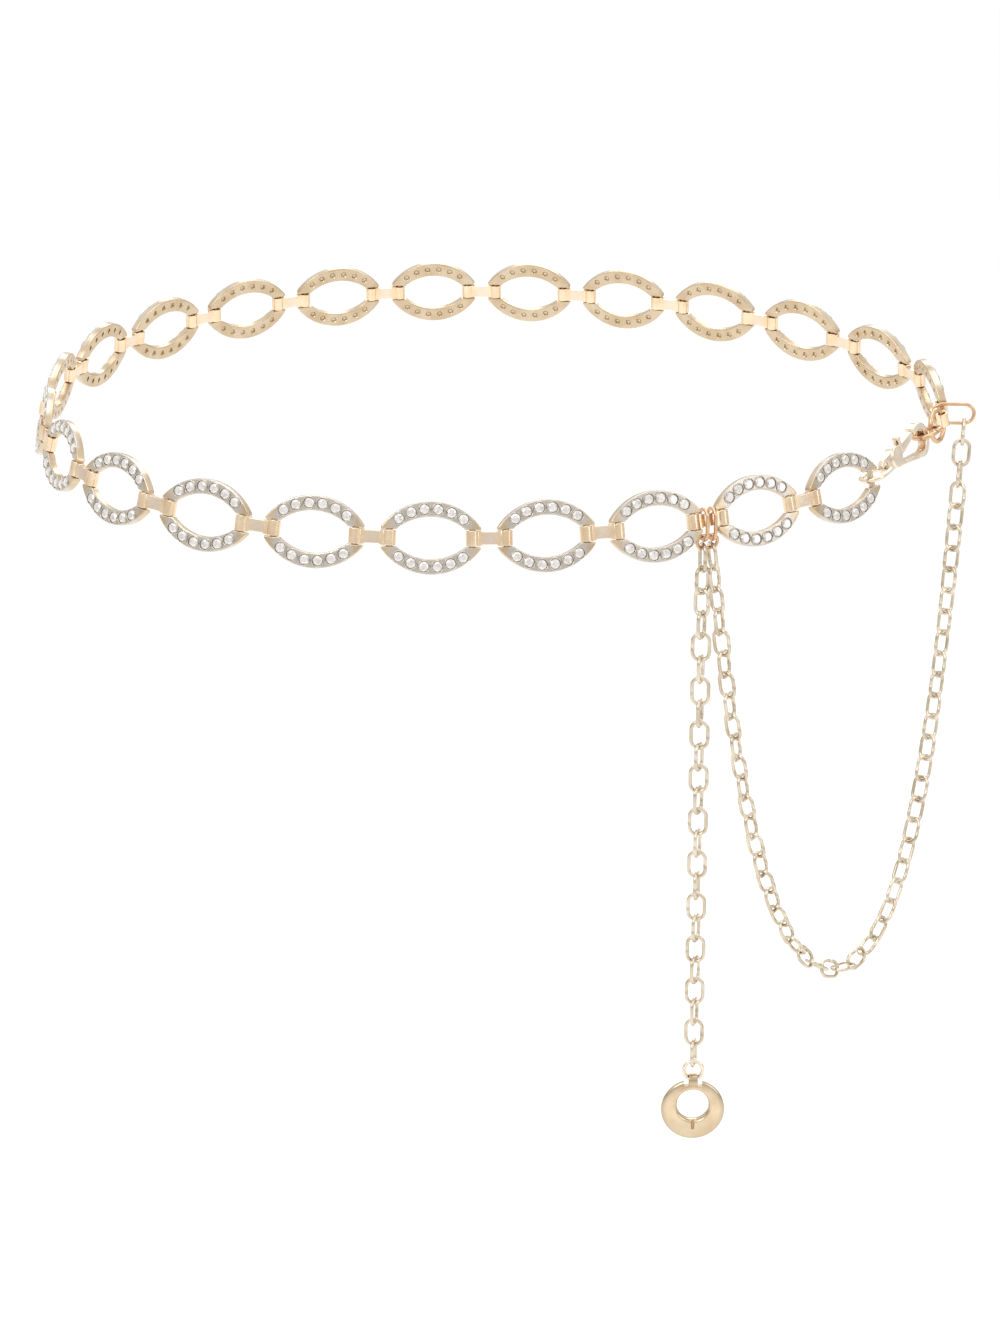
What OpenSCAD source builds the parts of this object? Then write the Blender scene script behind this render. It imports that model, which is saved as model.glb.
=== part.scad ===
// Waist chain: a belt of pierced oval links set with small round stones, closed by a
// lobster clasp, with a draped side chain and a hanging tail that ends in a ring pendant.
// X runs to the right of the front, Y to the back and Z up. The origin is the middle of
// the loop as it is worn.

/* [Worn loop] */
// Number of oval links
oval_count = 22; // [18:1:24]
// Front-to-back depth of the loop as a share of its width
loop_depth_share = 0.758; // [0.7:0.002:0.85]
// Share by which the right end of the loop is narrower than the left
loop_egg = 0.1; // [0:0.004:0.12]
// Share by which the right end of the loop reaches further out
loop_bulge = 0.018; // [0:0.001:0.02]
// Share by which that reach is drawn to the front of the right end
loop_skew = 0.01; // [0:0.001:0.012]
// Turn of the loop in plan, in degrees
loop_turn = 4.4; // [0:0.2:10]
// Rise of the loop from front to back, in degrees
loop_rise = 9.6; // [0:0.1:14]
// Drop of the loop from left to right, in degrees
loop_roll = 0.9; // [0:0.1:3]
// Height of the wave in the loop, which lies higher at the back right and the front left
loop_wave = 1.8; // [0:0.1:3]
// Place of the first link round the loop, in degrees
loop_start = -38.4; // [-44:0.2:-34]
// Lean of every link's top towards the body, in degrees
link_lean = 12; // [0:1:16]

/* [Oval links] */
// Length of an oval link from tip to tip
oval_length = 25.6; // [25:0.1:27]
// Height of an oval link
oval_height = 18.8; // [18:0.1:21]
// Thickness of an oval link
oval_thickness = 2.2; // [2.1:0.05:2.6]
// Height of an oval link at its tips
oval_tip_height = 5.6; // [5:0.1:6.4]
// Width of the rim at the middle of an oval link
rim_width = 4; // [3.8:0.05:4.4]
// Length of the pierced opening in an oval link
opening_length = 21.8; // [21.4:0.1:22.4]
// Diameter of the pin across each end of an oval link
pin_d = 1.7; // [1.5:0.05:1.8]
// Distance of a pin from the tip of its link
pin_inset = 2.2; // [2.1:0.05:2.4]

/* [Stones] */
// Diameter of a stone
stone_d = 2.8; // [2.4:0.05:2.9]
// Number of stones along the upper rim, and again along the lower rim
stones_per_rim = 6; // [4:1:6]
// Spacing of the stones along the rim
stone_pitch = 3.5; // [3.3:0.05:3.6]
// Depth of a stone's seat below the link's face
seat_depth = 0.9; // [0.7:0.05:1.2]
// Width of the collar round each stone
collar_width = 0.25; // [0.2:0.01:0.28]
// Height of the collar above the link's face
collar_height = 0.35; // [0.2:0.05:0.45]
// Gap between a stone and the wall of its seat
seat_gap = 0.05; // [0.02:0.01:0.08]
// Diameter of the pit behind each stone
pit_d = 1.3; // [1:0.1:1.8]

/* [Bands] */
// Distance between the two knuckles of a band
band_pitch = 8.8; // [8.6:0.05:9.4]
// Height of a band at its knuckles
band_height = 3.9; // [3.7:0.05:4]
// Outer diameter of a knuckle
knuckle_d = 3.4; // [3.35:0.05:3.5]
// Thickness of the web between the knuckles
web_thickness = 2; // [1.8:0.05:2]
// Height of the waist in the middle of a band
waist_height = 3.3; // [3:0.05:3.4]
// Length of the waist in the middle of a band
waist_length = 3.9; // [3.6:0.05:4]
// Gap all round a pin in its knuckle
pin_gap = 0.25; // [0.2:0.01:0.3]
// Gap between a knuckle and the slot that it turns in
slot_gap = 0.24; // [0.2:0.01:0.3]

/* [Clasp] */
// Wire of the three rings of the clasp
ring_wire = 1.4; // [1.2:0.05:1.4]
// Inner length of the oval ring on the first link
clasp_ring_length = 9; // [8.6:0.1:10]
// Inner width of the oval ring on the first link
clasp_ring_width = 5.6; // [5.2:0.1:6.2]
// Inner length of the oval ring that the hook holds
hook_ring_length = 8; // [7.6:0.1:9]
// Inner width of the oval ring that the hook holds
hook_ring_width = 5; // [4.6:0.1:5.6]
// Radius of the round ring on the last band, to the middle of its wire
end_ring_radius = 4.4; // [4.3:0.05:4.8]
// Reach of the clasp from the middle of its eye to the inside of its hook
clasp_reach = 25; // [24.5:0.1:26]
// Thickness of the clasp
clasp_thickness = 2.8; // [2.6:0.1:3.2]
// Radius of the hole in the clasp's eye
eye_hole_r = 1.4; // [1.35:0.05:1.5]
// Outer radius of the clasp's eye
eye_r = 2.3; // [2.2:0.05:2.5]
// Thickness of the clasp's eye
eye_thickness = 1.6; // [1.4:0.1:1.8]
// Radius of the hook's outer curve
hook_r = 4.9; // [4.7:0.05:5.2]
// Radius of the hook's inner curve
hook_hole_r = 3.1; // [2.9:0.05:3.2]
// Thickness of the hook's end
hook_wall = 2.1; // [1.9:0.05:2.3]
// Radius of the base that holds the lever
base_r = 3; // [2.9:0.05:3.2]
// Thickness of the lever's root, between the cheeks of the base
lever_root = 1.1; // [1:0.05:1.2]
// Thickness of the lever's arm
lever_arm = 2; // [1.8:0.1:2.4]
// Diameter of the pin that the lever turns on
lever_pin_d = 1.2; // [1.1:0.05:1.3]
// Gap all round a moving piece of the clasp
lever_gap = 0.1; // [0.08:0.01:0.12]
// Gap between the base and the lever's wide arm, which leaves room for the throat's edge when it opens
arm_gap = 0.75; // [0.7:0.05:0.8]

/* [Hangers] */
// Wire of the loops that carry the side chains
hanger_wire = 1; // [0.9:0.02:1.04]
// Spacing of the two loops on the front hanger
hanger_pitch = 2.4; // [2.3:0.05:2.5]
// Inner width of the two loops on the front hanger
hanger_width = 3.4; // [3.4:0.05:3.8]
// Extra length of the two loops, so that the flat ring under them clears the oval links
hanger_drop = 1.8; // [1.8:0.1:2.2]
// Inner length of the long ring on the last band
end_hanger_length = 10.5; // [9:0.1:12]
// Inner width of the long ring on the last band
end_hanger_width = 4.4; // [4.4:0.05:4.8]

/* [Side chain] */
// Inner length of a chain link
chain_length = 6.25; // [6.1:0.05:6.5]
// Inner width of a chain link
chain_width = 3.4; // [3.3:0.05:3.6]
// Wire of a chain link
chain_wire = 1.05; // [1:0.01:1.1]
// Play of a chain link on the next one
chain_play = 0.17; // [0.15:0.01:0.22]
// Number of links in the hanging tail
tail_links = 24; // [18:2:30]
// Number of links in the draped chain
drape_links = 52; // [44:2:60]
// Distance by which the hip holds the draped chain out, in plan
drape_bulge = 6.5; // [1:0.5:10]

/* [Pendant] */
// Diameter of the pendant
pendant_d = 17.5; // [16:0.1:20]
// Thickness of the pendant at its middle
pendant_thickness = 3.4; // [3:0.1:3.8]
// Thickness of the pendant at its edge
pendant_edge = 1.2; // [1:0.1:1.6]
// Diameter of the hole in the pendant
pendant_hole_d = 8.6; // [8:0.1:9]
// Distance of the hole above the pendant's middle
pendant_hole_rise = 1.5; // [1.3:0.1:1.7]
// Width of the notch that the pendant's eye stands in
pendant_notch_width = 5; // [4.8:0.1:5.6]
// Depth of the notch that the pendant's eye stands in
pendant_notch_depth = 1.7; // [1.6:0.05:1.9]
// Radius of the pendant's ring, to the middle of its wire
pendant_ring_r = 2.6; // [2.6:0.05:3.2]
// Wire of the pendant's ring
pendant_ring_wire = 1.1; // [1:0.05:1.15]
// Width of the eye on top of the pendant
pendant_eye_width = 2.4; // [2.2:0.05:2.5]
// Outer diameter of the eye on top of the pendant
pendant_eye_d = 3.8; // [3.7:0.05:4]
// Bore of the eye on top of the pendant
pendant_eye_bore = 2; // [1.95:0.05:2.1]

/* [Hidden] */
$fn = 48;
cut = 0.5;
rest = 0.1;
up = [0, 0, 1];

pin_x = oval_length / 2 - pin_inset;
slot_half = band_height / 2 + slot_gap;
pivot_count = 2 * oval_count + 1;
tip_drop = (oval_height - oval_tip_height) / 2;
oval_outer_r = (pow(oval_length / 2, 2) + pow(tip_drop, 2)) / (2 * tip_drop);
opening_half = oval_height / 2 - rim_width;
oval_inner_r = (pow(opening_length / 2, 2) + pow(opening_half, 2)) / (2 * opening_half);
stone_arc_r = (oval_outer_r + oval_inner_r) / 2;
stone_arc_top = oval_height / 2 - rim_width / 2;
stone_step = stone_pitch / stone_arc_r * 180 / PI;

// Places along the clasp's stretch, measured from the first pin
link_rest = 0.12;
clasp_ring_s = clasp_ring_length / 2 - pin_d / 2 - link_rest;
eye_s = clasp_ring_s + clasp_ring_length / 2 - link_rest + eye_hole_r
    - arc_height(clasp_ring_width / 2, eye_thickness / 2);
hook_ring_s = eye_s + clasp_reach - link_rest + hook_ring_length / 2
    - arc_height(hook_ring_width / 2, clasp_thickness / 2);
end_ring_play = 0.28;
end_ring_s = hook_ring_s + hook_ring_length / 2 - ring_wire / 2 - 2 * rest + end_ring_radius;
clasp_stretch = end_ring_s + end_ring_radius - end_ring_play;

// Places on the clasp, measured from the middle of its eye
lever_pivot = [6.6, 0.6];
neck_r = 2.6;
arm_root_r = 2.8;
lever_root_r = 1.6;
lever_tip = [clasp_reach - 7.4, 2.9];
lever_tip_r = 1;
nose_gap = 0.35;
nose_x = lever_tip[0] + lever_tip_r + nose_gap;
hook_centre = [clasp_reach - hook_hole_r, 0];
hook_outer_centre = [clasp_reach + hook_wall - hook_r, 0];
throat_centre = [10.9, -0.3];
throat_r = 1.6;
lever_floor = -1.7;
knob_r = 0.8;
knob_root = [10.6, 2.4];
knob_top = [10.2, 4.4];

// The band that carries the front hanger, and the last band, where the clasp closes
hanger_band = 2;
end_band = oval_count;

function numbered(word, k) = str(word, k < 10 ? "_0" : "_", k);
function unit(v) = v / norm(v);
// Height of an arc over a chord of the given half length
function arc_height(radius, half) = radius - sqrt(radius * radius - half * half);
function across(v, n) = unit(v - n * (v * n));

// Point on the worn loop at an angle, for a loop of the given half width
function loop_point(t, half) =
    let (reach = half * (1 + loop_bulge * cos(3 * t) - loop_skew * sin(3 * t)), x = reach * cos(t),
         y = reach * loop_depth_share * sin(t) * (1 - loop_egg * cos(t)),
         px = x * cos(loop_turn) - y * sin(loop_turn), py = x * sin(loop_turn) + y * cos(loop_turn))
    [px, py, tan(loop_rise) * py - tan(loop_roll) * px + loop_wave * sin(2 * t)];

// Angle that a straight chord takes from the point at angle t
function chord_angle(t, chord, half, low = 0, high = 30, tries = 24) =
    tries == 0 ? (low + high) / 2 :
    let (mid = (low + high) / 2, short = norm(loop_point(t - mid, half) - loop_point(t, half)) < chord)
    chord_angle(t, chord, half, short ? mid : low, short ? high : mid, tries - 1);

function pivot_chord(k) = k % 2 == 0 ? 2 * pin_x : band_pitch;
function pivot_angles(half) =
    [for (k = 0, t = loop_start; k < pivot_count;
          t = t - chord_angle(t, pivot_chord(k), half), k = k + 1) t];
function open_stretch(half) =
    let (angles = pivot_angles(half))
    norm(loop_point(angles[pivot_count - 1], half) - loop_point(loop_start, half));

// Half width of the loop at which the clasp just closes the belt
function closing_half(low, high, tries = 20) =
    tries == 0 ? (low + high) / 2 :
    let (mid = (low + high) / 2, tight = open_stretch(mid) < clasp_stretch)
    closing_half(tight ? mid : low, tight ? high : mid, tries - 1);

// A loop this deep is between five and six half widths round
belt_length = oval_count * (2 * pin_x + band_pitch) + clasp_stretch;
loop_half = closing_half(belt_length / 6, belt_length / 5);
pivots = [for (t = pivot_angles(loop_half)) loop_point(t, loop_half)];
first_pin = pivots[0];
last_pin = pivots[pivot_count - 1];

// A frame is [along, upward, outward, place], leaned towards the body
function frame(earlier, later, lean = link_lean) =
    let (along = unit(earlier - later), rise = across(up, along), out = cross(along, rise))
    [along, rise * cos(lean) - out * sin(lean), out * cos(lean) + rise * sin(lean), (earlier + later) / 2];
function link_frame(k) = frame(pivots[2 * k - 2], pivots[2 * k - 1]);
function band_frame(k) = frame(pivots[2 * k - 1], pivots[2 * k]);
clasp_frame = frame(last_pin, first_pin);
stretch = clasp_frame[0];

module in_frame(f) {
    multmatrix([for (i = [0:2]) [f[0][i], f[1][i], f[2][i], f[3][i]]]) children();
}

// A plumb frame has its second axis straight up
function plumb(f) =
    let (along = unit([f[0][0], f[0][1], 0])) [along, up, cross(along, up), f[3]];

// Closed loop of round wire in the XY plane, its long way along X
module wire_loop(inner_length, inner_width, wire) {
    straight = inner_length - inner_width;
    bend_r = (inner_width + wire) / 2;
    for (half_turn = [0, 180]) rotate([0, 0, half_turn]) {
        translate([straight / 2, 0, 0]) rotate([0, 0, -90]) rotate_extrude(angle = 180)
            translate([bend_r, 0]) circle(d = wire, $fn = 32);
        if (straight > 0)
            translate([-straight / 2, bend_r, 0]) rotate([0, 90, 0])
                cylinder(d = wire, h = straight, $fn = 32);
    }
}

module round_ring(radius, wire) {
    rotate_extrude() translate([radius, 0]) circle(d = wire, $fn = 32);
}

// Flat shape between two round ends of different radius. Its sides lie a hair inside both ends
bar_waist = 0.04;
module tapered_shape(start, start_r, end, end_r) {
    run = norm(end - start);
    tilt = asin((start_r - end_r) / run);
    translate(start) rotate(atan2(end[1] - start[1], end[0] - start[0])) {
        circle(r = start_r);
        translate([run, 0]) circle(r = end_r);
        polygon([for (p = [[0, start_r, 1], [run, end_r, 1], [run, end_r, -1], [0, start_r, -1]])
            let (side = p[1] - bar_waist) [p[0] + side * sin(tilt), p[2] * side * cos(tilt)]]);
    }
}

module tapered_bar(start, start_r, end, end_r, thickness) {
    linear_extrude(height = thickness, center = true) tapered_shape(start, start_r, end, end_r);
}

// Lens between two equal arcs
module lens(radius, half_height, thickness) {
    intersection_for (side = [-1, 1])
        translate([0, side * (half_height - radius), -thickness / 2])
            cylinder(r = radius, h = thickness, $fn = 96);
}

// Places of the stones on the link's face
module at_stones() {
    for (rim = [0, 180], k = [0:stones_per_rim - 1])
        rotate([0, 0, rim]) translate([0, stone_arc_top - stone_arc_r, 0])
            rotate([0, 0, (k - (stones_per_rim - 1) / 2) * stone_step])
                translate([0, stone_arc_r, oval_thickness / 2]) children();
}

module stone_collars() {
    at_stones() cylinder(d = stone_d + 2 * (seat_gap + collar_width), h = 2 * collar_height, center = true,
                         $fn = 24);
}

module stone_seats() {
    at_stones() {
        translate([0, 0, -seat_depth])
            cylinder(d = stone_d + 2 * seat_gap, h = seat_depth + collar_height + cut, $fn = 24);
        translate([0, 0, -oval_thickness - cut]) cylinder(d = pit_d, h = oval_thickness, $fn = 24);
    }
}

// Oval link with its pierced opening, a slot and a pin at each end, and the stones' seats
module oval_link() {
    difference() {
        union() {
            intersection() {
                lens(oval_outer_r, oval_height / 2, oval_thickness);
                cube([oval_length, oval_height + cut, oval_thickness + cut], center = true);
            }
            stone_collars();
        }
        lens(oval_inner_r, opening_half, oval_thickness + 2 * cut);
        for (side = [-1, 1])
            translate([side * (oval_length / 2), 0, 0])
                cube([2 * (pin_inset + knuckle_d / 2 + slot_gap), 2 * slot_half, oval_thickness + 2 * cut],
                     center = true);
        stone_seats();
    }
    for (side = [-1, 1])
        translate([side * pin_x, 0, 0]) rotate([90, 0, 0])
            cylinder(d = pin_d, h = 2 * (slot_half + cut), center = true, $fn = 32);
}

// Band between two ovals: a knuckle round each pin and a narrower waist between them
module band_link() {
    difference() {
        rotate([90, 0, 0]) linear_extrude(height = band_height, center = true) difference() {
            union() {
                for (side = [-1, 1]) translate([side * band_pitch / 2, 0]) circle(d = knuckle_d);
                square([band_pitch, web_thickness], center = true);
            }
            for (side = [-1, 1]) translate([side * band_pitch / 2, 0]) circle(d = pin_d + 2 * pin_gap);
        }
        for (side = [-1, 1])
            translate([0, side * (waist_height + band_height) / 2, 0])
                cube([waist_length, band_height, web_thickness + cut], center = true);
    }
}

module clasp_place(s) {
    in_frame([clasp_frame[0], clasp_frame[1], clasp_frame[2], first_pin + stretch * s]) children();
}

// The ring on the first link lies across that link's pin
module clasp_ring() {
    rise = across(link_frame(1)[1], stretch);
    color("burlywood") in_frame([stretch, cross(stretch, rise), -rise, first_pin + stretch * clasp_ring_s])
        wire_loop(clasp_ring_length, clasp_ring_width, ring_wire);
}

// The base round the lever's pivot, and the arm that runs under the throat into the hook
module clasp_outline() {
    difference() {
        tapered_shape(lever_pivot, arm_root_r, hook_outer_centre, hook_r);
        tapered_shape(throat_centre, throat_r, hook_centre, hook_hole_r);
        translate([lever_pivot[0], 0]) square([nose_x - lever_pivot[0], hook_r + cut]);
    }
    translate(lever_pivot) circle(r = base_r);
}

module clasp_body() {
    cheek_gap = lever_root + 2 * lever_gap;
    color("burlywood") clasp_place(eye_s) {
        difference() {
            union() {
                linear_extrude(height = clasp_thickness, center = true) clasp_outline();
                tapered_bar([0, 0], eye_r, lever_pivot, neck_r, eye_thickness);
            }
            cylinder(r = eye_hole_r, h = 2 * clasp_thickness, center = true);
            translate([lever_pivot[0], lever_pivot[1], 0])
                cylinder(r = lever_root_r + lever_gap, h = cheek_gap, center = true);
            translate([lever_pivot[0], lever_floor, -cheek_gap / 2])
                cube([base_r + cut, base_r - lever_floor + lever_pivot[1] + cut, cheek_gap]);
        }
        translate([lever_pivot[0], lever_pivot[1], 0])
            cylinder(d = lever_pin_d, h = clasp_thickness - 2 * rest, center = true);
    }
}

module clasp_lever() {
    color("burlywood") clasp_place(eye_s) difference() {
        union() {
            tapered_bar(lever_pivot, lever_root_r, lever_tip, lever_tip_r, lever_root);
            difference() {
                union() {
                    tapered_bar(lever_pivot, lever_root_r, lever_tip, lever_tip_r, lever_arm);
                    tapered_bar(knob_root, knob_r, knob_top, knob_r, lever_arm);
                }
                translate([lever_pivot[0], lever_pivot[1], 0])
                    cylinder(r = base_r + arm_gap, h = 2 * lever_arm, center = true);
            }
        }
        translate([lever_pivot[0], lever_pivot[1], 0])
            cylinder(d = lever_pin_d + 2 * lever_gap, h = 2 * lever_arm, center = true);
    }
}

module hook_ring() {
    color("burlywood") in_frame([stretch, clasp_frame[2], -clasp_frame[1], first_pin + stretch * hook_ring_s])
        wire_loop(hook_ring_length, hook_ring_width, ring_wire);
}

// The round ring stands in the last band's knuckle
module end_ring() {
    rise = band_frame(end_band)[1];
    along = across(stretch, rise);
    color("burlywood") in_frame([along, rise, cross(along, rise),
                                 last_pin - along * (end_ring_radius - end_ring_play)])
        round_ring(end_ring_radius, ring_wire);
}

// Half height of a band's leaned waist
waist_low = waist_height / 2 * cos(link_lean) + web_thickness / 2 * sin(link_lean);
hanger_bottom = waist_low + hanger_wire + 2 * rest + hanger_drop;
hanger_top = 2.4;
strand_drop = hanger_bottom + hanger_wire + rest + chain_wire / 2;
strand_side = hanger_pitch / 2 + rest;
cradle_height = hanger_wire + chain_wire + 3 * rest;
cradle_drop = hanger_bottom - rest + cradle_height / 2;
hanger_frame = plumb(band_frame(hanger_band));

// Two loops round a band's waist and the flat ring in them that carries both strands
module hanger() {
    color("peru") in_frame(hanger_frame) {
        for (side = [-1, 1])
            translate([side * hanger_pitch / 2, (hanger_top - hanger_bottom) / 2, 0])
                rotate([0, 90, 0]) rotate([0, 0, 90])
                    wire_loop(hanger_top + hanger_bottom, hanger_width, hanger_wire);
        translate([0, -cradle_drop, 0])
            wire_loop(2 * strand_side + cradle_height + rest, cradle_height, hanger_wire);
    }
}

end_frame = plumb(band_frame(end_band));
end_inset = 0.15;
end_reach = end_inset + end_hanger_length - end_hanger_width;
end_strand_drop = (end_hanger_width - chain_wire) / 2 - 2 * rest;

// Long ring round the last band's waist, standing out over the hip
module end_hanger() {
    color("peru") in_frame(end_frame)
        translate([0, 0, end_inset + (end_hanger_length - end_hanger_width) / 2])
            rotate([0, 90, 0]) wire_loop(end_hanger_length, end_hanger_width, hanger_wire);
}

chain_pitch = chain_length - chain_play;
chain_overlap = (chain_length + chain_wire - chain_pitch) / 2;

// Chain link from one joint to the next, turned about its own length
module chain_link(head, tail, flat, turn) {
    along = unit(tail - head);
    side = across(flat, along);
    wide = side * cos(turn) + cross(along, side) * sin(turn);
    in_frame([along, wide, cross(along, wide), (head + tail) / 2])
        wire_loop(chain_length, chain_width, chain_wire);
}

// Turns of the links nearest the hangers, and of all the links between them, in degrees
tail_top_turns = [75, -45, 45, -65];
tail_turns = [6, -68];
drape_top_turns = [24, 77, 7, 72];
drape_turns = [-6, 78];
drape_end_turns = [3, -62, 48, -52];
sway = 6;
function tail_turn(k) =
    k < len(tail_top_turns) ? tail_top_turns[k] : tail_turns[k % 2] + sway * sin(k * 137);
function drape_turn(k) =
    let (from_end = k - drape_links + len(drape_end_turns))
    k < len(drape_top_turns) ? drape_top_turns[k] :
    from_end >= 0 ? drape_end_turns[from_end] : drape_turns[k % 2] + sway * sin(k * 151);

tail_head = hanger_frame[3] - hanger_frame[0] * strand_side - up * (strand_drop + chain_overlap);
function tail_joint(k) = tail_head - up * (k * chain_pitch);

module tail_chain() {
    color("burlywood") for (k = [0:tail_links - 1])
        chain_link(tail_joint(k), tail_joint(k + 1), [1, 0, 0], tail_turn(k));
}

// The draped chain hangs as a catenary between its two joints, on an upright arc over the hip
drape_head = hanger_frame[3] + hanger_frame[0] * strand_side - up * (strand_drop + chain_overlap);
drape_end = end_frame[3] + end_frame[2] * end_reach - up * (end_strand_drop + chain_overlap);
drape_chord = [drape_end[0] - drape_head[0], drape_end[1] - drape_head[1], 0];
drape_rise = drape_end[2] - drape_head[2];
drape_arc = drape_links * chain_pitch;
drape_way = unit(drape_chord);
drape_outward = cross(drape_way, up);
hip_r = (pow(norm(drape_chord) / 2, 2) + pow(drape_bulge, 2)) / (2 * drape_bulge);
hip_angle = 2 * asin(norm(drape_chord) / (2 * hip_r));
hip_centre = drape_head + drape_chord / 2 - drape_outward * (hip_r - drape_bulge);
drape_span = hip_r * hip_angle * PI / 180;

// Point straight above or below the head's height, at a distance along the hip's arc
function hip_point(s) =
    let (angle = s / hip_r * 180 / PI - hip_angle / 2)
    hip_centre + hip_r * (drape_outward * cos(angle) + drape_way * sin(angle));

function sinh(x) = (exp(x) - exp(-x)) / 2;
function cosh(x) = (exp(x) + exp(-x)) / 2;
function asinh(x) = ln(x + sqrt(x * x + 1));
function catenary_scale(low, high, tries = 30) =
    tries == 0 ? (low + high) / 2 :
    let (mid = (low + high) / 2,
         slack = 2 * mid * sinh(drape_span / (2 * mid)) > sqrt(pow(drape_arc, 2) - pow(drape_rise, 2)))
    catenary_scale(slack ? mid : low, slack ? high : mid, tries - 1);
curve = catenary_scale(drape_span / 12, drape_span);
// Arc length from the lowest point back to the head
head_arc = (drape_arc - drape_rise * cosh(drape_span / (2 * curve)) / sinh(drape_span / (2 * curve))) / 2;
head_s = curve * asinh(head_arc / curve);
function drape_joint(k) =
    let (s = curve * asinh((k * chain_pitch - head_arc) / curve))
    hip_point(s + head_s) + up * curve * (cosh(s / curve) - cosh(head_s / curve));

module drape(first, last) {
    color("burlywood") for (k = [first:last])
        chain_link(drape_joint(k), drape_joint(k + 1), cross(up, drape_way), drape_turn(k));
}
module drape_front() { drape(0, drape_links / 2 - 1); }
module drape_back() { drape(drape_links / 2, drape_links - 1); }

pendant_ring_centre = tail_joint(tail_links)
    + up * (rest + pendant_ring_wire / 2 + chain_wire - chain_overlap - pendant_ring_r - chain_wire / 2);
pendant_eye_centre = pendant_ring_centre - up * (pendant_ring_r + pendant_eye_bore / 2
    - pendant_ring_wire / 2 - rest);
pendant_eye_drop = 0.1;
pendant_centre = pendant_eye_centre - up * (pendant_d / 2 - pendant_eye_drop);
eye_flare = 0.5;
crease_width = 0.9;
crease_length = 3.2;
crease_depth = 0.5;

module pendant_ring() {
    color("burlywood") translate(pendant_ring_centre) rotate([90, 0, 0])
        round_ring(pendant_ring_r, pendant_ring_wire);
}

// Round plate, domed on both faces, with a notch in its top edge
module pendant_plate() {
    swell = (pendant_thickness - pendant_edge) / 2;
    dome_r = (pow(pendant_d / 2, 2) + pow(swell, 2)) / (2 * swell);
    difference() {
        rotate([90, 0, 0]) intersection() {
            cylinder(d = pendant_d, h = pendant_thickness, center = true, $fn = 96);
            intersection_for (side = [-1, 1])
                translate([0, 0, side * (pendant_thickness / 2 - dome_r)]) sphere(r = dome_r, $fn = 180);
        }
        translate([0, 0, pendant_d / 2]) cube([pendant_notch_width, pendant_thickness + cut,
                                               2 * pendant_notch_depth], center = true);
    }
}

// The plate with its hole set high, a short crease under it and an eye in the notch
module pendant() {
    hole_low = pendant_hole_rise - pendant_hole_d / 2;
    color("burlywood") difference() {
        union() {
            translate(pendant_centre) pendant_plate();
            translate(pendant_eye_centre) rotate([0, 90, 0])
                cylinder(d = pendant_eye_d, h = pendant_eye_width, center = true);
        }
        translate(pendant_eye_centre) rotate([0, 90, 0]) {
            for (side = [0, 180]) rotate([side, 0, 0])
                cylinder(d1 = pendant_eye_bore, d2 = pendant_eye_bore + 2 * eye_flare,
                         h = pendant_eye_width / 2 + 0.01);
        }
        translate(pendant_centre + up * pendant_hole_rise) rotate([90, 0, 0])
            cylinder(d = pendant_hole_d, h = pendant_thickness + cut, center = true, $fn = 96);
        translate(pendant_centre + up * (hole_low + cut - (crease_length + cut) / 2)
                  - [0, pendant_thickness / 2, 0])
            cube([crease_width, 2 * crease_depth, crease_length + cut], center = true);
    }
}

for (k = [1:oval_count]) {
    color("wheat") in_frame(link_frame(k)) oval_link();
    color("tan") in_frame(band_frame(k)) band_link();
}
clasp_ring();
clasp_body();
clasp_lever();
hook_ring();
end_ring();
hanger();
end_hanger();
tail_chain();
drape_front();
drape_back();
pendant_ring();
pendant();
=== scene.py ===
"""Looks of a waist chain: oval links set with round stones, a clasp, side chains and a ring pendant.

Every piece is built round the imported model, in the model's own frame. A piece that stands for
a solid is measured on that solid, so it lies where the solid lies.
"""

import logging
import math
from dataclasses import dataclass, field
from enum import Enum
from typing import Any, Iterable, Sequence, Union

import bmesh
import bpy
import numpy as np
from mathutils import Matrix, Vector


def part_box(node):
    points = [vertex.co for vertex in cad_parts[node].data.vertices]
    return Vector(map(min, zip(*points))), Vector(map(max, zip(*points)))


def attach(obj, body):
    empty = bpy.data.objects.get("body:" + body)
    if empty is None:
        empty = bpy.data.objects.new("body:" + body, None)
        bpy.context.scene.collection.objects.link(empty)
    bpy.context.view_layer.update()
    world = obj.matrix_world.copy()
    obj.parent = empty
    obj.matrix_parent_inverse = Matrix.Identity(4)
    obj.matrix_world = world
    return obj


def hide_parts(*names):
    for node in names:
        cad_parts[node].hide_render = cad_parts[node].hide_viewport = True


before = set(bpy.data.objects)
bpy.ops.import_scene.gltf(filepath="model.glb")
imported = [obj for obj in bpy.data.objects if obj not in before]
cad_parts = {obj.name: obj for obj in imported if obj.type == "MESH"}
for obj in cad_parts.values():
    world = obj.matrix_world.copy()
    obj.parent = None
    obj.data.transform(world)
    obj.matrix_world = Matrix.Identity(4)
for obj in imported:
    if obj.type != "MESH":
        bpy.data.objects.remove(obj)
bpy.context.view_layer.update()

MM = 0.001
WELD = 2e-6
Number = Union[float, "Value"]
Colour = tuple[float, float, float]
log = logging.getLogger("waist_chain")


class Slot(Enum):
    """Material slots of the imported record."""

    PALE_GOLD = "pale_gold"
    WARM_GOLD = "warm_gold"
    COPPER = "copper"
    RHINESTONE = "rhinestone"


class Body(Enum):
    """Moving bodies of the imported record."""

    BELT = "belt"
    LEVER = "lever"
    PENDANT = "pendant"


# Shapes


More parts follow.
